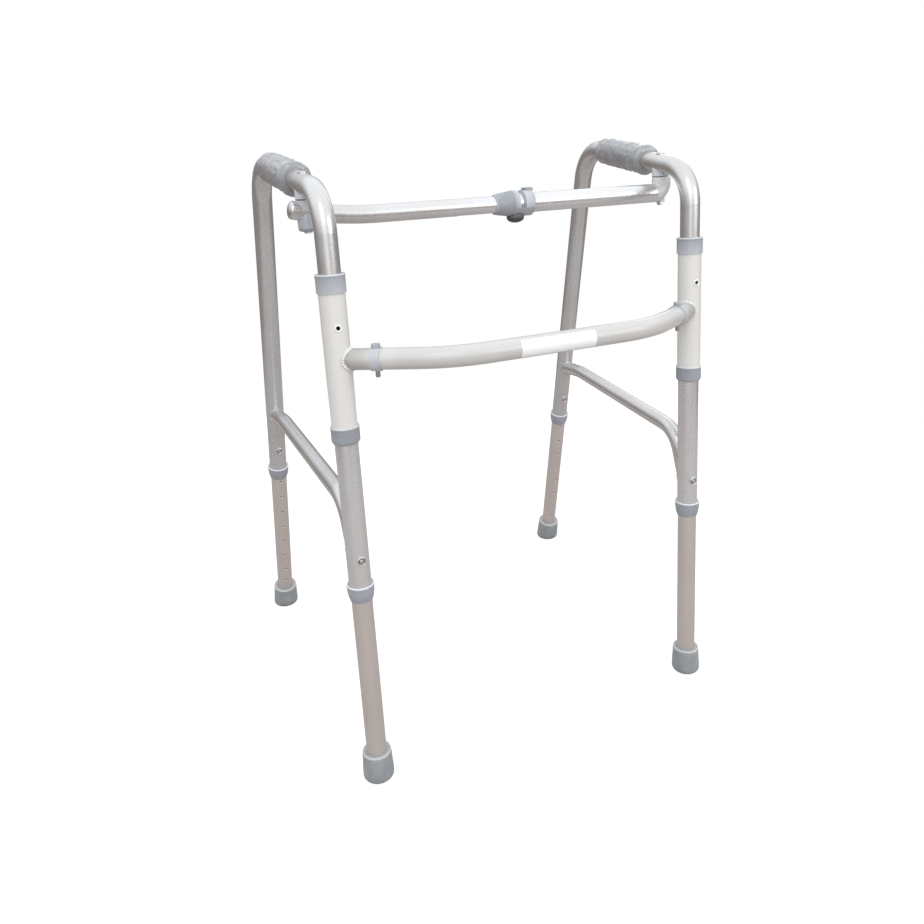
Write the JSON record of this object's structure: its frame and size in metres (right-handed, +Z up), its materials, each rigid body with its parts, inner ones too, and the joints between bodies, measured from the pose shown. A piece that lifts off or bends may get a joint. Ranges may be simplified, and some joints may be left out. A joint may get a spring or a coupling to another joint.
{
  "type": "walking frame",
  "caption": "Folding walking frame with inverted-U side frames, bowed lower bar, telescopic upper bar with push-button lock, moulded grips and height-adjustable rubber-tipped legs.",
  "frame": {"origin": "centre of the footprint, on the floor", "axes": "+Z up, -Y towards the front of the frame (the user stands on the +Y side), +X to the right seen from the front"},
  "size_m": [0.6098, 0.617, 0.8141],
  "materials": {
    "tube_silver": "satin anodised",
    "leg_champagne": "satin anodised, warm tint",
    "ivory": "smooth gloss paint",
    "plastic_grey": "moulded",
    "grip_grey": "moulded, textured",
    "foot_rubber": "moulded",
    "steel": "zinc plated",
    "bolt_dark": "dark plated",
    "button_dark": "moulded",
    "label_white": "printed film, blank"
  },
  "bodies": {
    "front_frame": {"sleeve_left": "ivory", "sleeve_right": "ivory", "lower_bar": "ivory", "sleeve_bush_top_left": "plastic_grey", "sleeve_bush_top_right": "plastic_grey", "sleeve_bush_bottom_left": "plastic_grey", "sleeve_bush_bottom_right": "plastic_grey", "bar_clip_left": "plastic_grey", "bar_clip_right": "plastic_grey", "clip_bolt_left": "bolt_dark", "clip_bolt_right": "bolt_dark", "label_plate": "label_white"},
    "left_side": {"side_tube_left": "tube_silver", "side_brace_left": "tube_silver", "grip_left": "grip_grey", "bracket_boss_left": "plastic_grey", "pivot_washer_left": "bolt_dark", "pivot_bolt_left": "steel", "pivot_nut_left": "steel", "leg_collar_front_left": "plastic_grey", "leg_collar_rear_left": "plastic_grey", "button_rings_left": "steel"},
    "right_side": {"side_tube_right": "tube_silver", "side_brace_right": "tube_silver", "grip_right": "grip_grey", "bracket_boss_right": "plastic_grey", "pivot_washer_right": "bolt_dark", "pivot_bolt_right": "steel", "pivot_nut_right": "steel", "leg_collar_front_right": "plastic_grey", "leg_collar_rear_right": "plastic_grey", "button_rings_right": "steel"},
    "bar_left": {"bar_inner": "tube_silver", "bar_cap_left": "tube_silver", "saddle_left": "plastic_grey", "saddle_lower_left": "plastic_grey"},
    "bar_right": {"bar_outer": "tube_silver", "lock_collar": "plastic_grey", "elbow_right": "plastic_grey"},
    "release": {"release_button": "button_dark"},
    "leg_front_left": {"leg_tube_front_left": "leg_champagne", "foot_front_left": "foot_rubber", "foot_disc_front_left": "steel", "lock_spring_front_left": "steel"},
    "button_front_left": {"snap_button_front_left": "steel"},
    "leg_rear_left": {"leg_tube_rear_left": "leg_champagne", "foot_rear_left": "foot_rubber", "foot_disc_rear_left": "steel", "lock_spring_rear_left": "steel"},
    "button_rear_left": {"snap_button_rear_left": "steel"},
    "leg_front_right": {"leg_tube_front_right": "leg_champagne", "foot_front_right": "foot_rubber", "foot_disc_front_right": "steel", "lock_spring_front_right": "steel"},
    "button_front_right": {"snap_button_front_right": "steel"},
    "leg_rear_right": {"leg_tube_rear_right": "leg_champagne", "foot_rear_right": "foot_rubber", "foot_disc_rear_right": "steel", "lock_spring_rear_right": "steel"},
    "button_rear_right": {"snap_button_rear_right": "steel"}
  },
  "joints": [
    {"name": "left_fold", "type": "hinge", "parent": "front_frame", "child": "left_side", "pos_m": [-0.25, -0.22215, 0], "axis": [0, 0, -1], "range_deg": [0, 28]},
    {"name": "right_fold", "type": "hinge", "parent": "front_frame", "child": "right_side", "pos_m": [0.25, -0.22215, 0], "axis": [0, 0, 1], "range_deg": [0, 28]},
    {"name": "bar_left_pivot", "type": "hinge", "parent": "left_side", "child": "bar_left", "pos_m": [-0.25471, -0.15031, 0.73], "axis": [0, 0, 1], "range_deg": [0, 28]},
    {"name": "bar_right_pivot", "type": "hinge", "parent": "right_side", "child": "bar_right", "pos_m": [0.25471, -0.15031, 0.73], "axis": [0, 0, -1], "range_deg": [0, 28]},
    {"name": "release_press", "type": "slide", "parent": "bar_right", "child": "release", "axis": [0, 0, 1], "range_m": [0, 0.003], "stiffness_N_per_m": 800, "springref_m": -0.001},
    {"name": "leg_front_left_slide", "type": "slide", "parent": "left_side", "child": "leg_front_left", "axis": [0, 0, -1], "range_m": [-0.163, 0.0652]},
    {"name": "button_front_left_press", "type": "slide", "parent": "left_side", "child": "button_front_left", "axis": [-0.0654, 0.9979, 0], "range_m": [0, 0.0014], "stiffness_N_per_m": 1500, "springref_m": -0.0005},
    {"name": "leg_rear_left_slide", "type": "slide", "parent": "left_side", "child": "leg_rear_left", "axis": [-0.017, 0.2601, -0.9654], "range_m": [-0.163, 0.0652]},
    {"name": "button_rear_left_press", "type": "slide", "parent": "left_side", "child": "button_rear_left", "axis": [-0.0631, 0.9634, 0.2607], "range_m": [0, 0.0014], "stiffness_N_per_m": 1500, "springref_m": -0.0005},
    {"name": "leg_front_right_slide", "type": "slide", "parent": "right_side", "child": "leg_front_right", "axis": [0, 0, -1], "range_m": [-0.163, 0.0652]},
    {"name": "button_front_right_press", "type": "slide", "parent": "right_side", "child": "button_front_right", "axis": [0.0654, 0.9979, 0], "range_m": [0, 0.0014], "stiffness_N_per_m": 1500, "springref_m": -0.0005},
    {"name": "leg_rear_right_slide", "type": "slide", "parent": "right_side", "child": "leg_rear_right", "axis": [0.017, 0.2601, -0.9654], "range_m": [-0.163, 0.0652]},
    {"name": "button_rear_right_press", "type": "slide", "parent": "right_side", "child": "button_rear_right", "axis": [0.0631, 0.9634, 0.2607], "range_m": [0, 0.0014], "stiffness_N_per_m": 1500, "springref_m": -0.0005}
  ],
  "couplings": [
    {"joint": "right_fold", "follows": "left_fold", "ratio": 1},
    {"joint": "bar_left_pivot", "follows": "left_fold", "ratio": 1},
    {"joint": "bar_right_pivot", "follows": "left_fold", "ratio": 1}
  ]
}
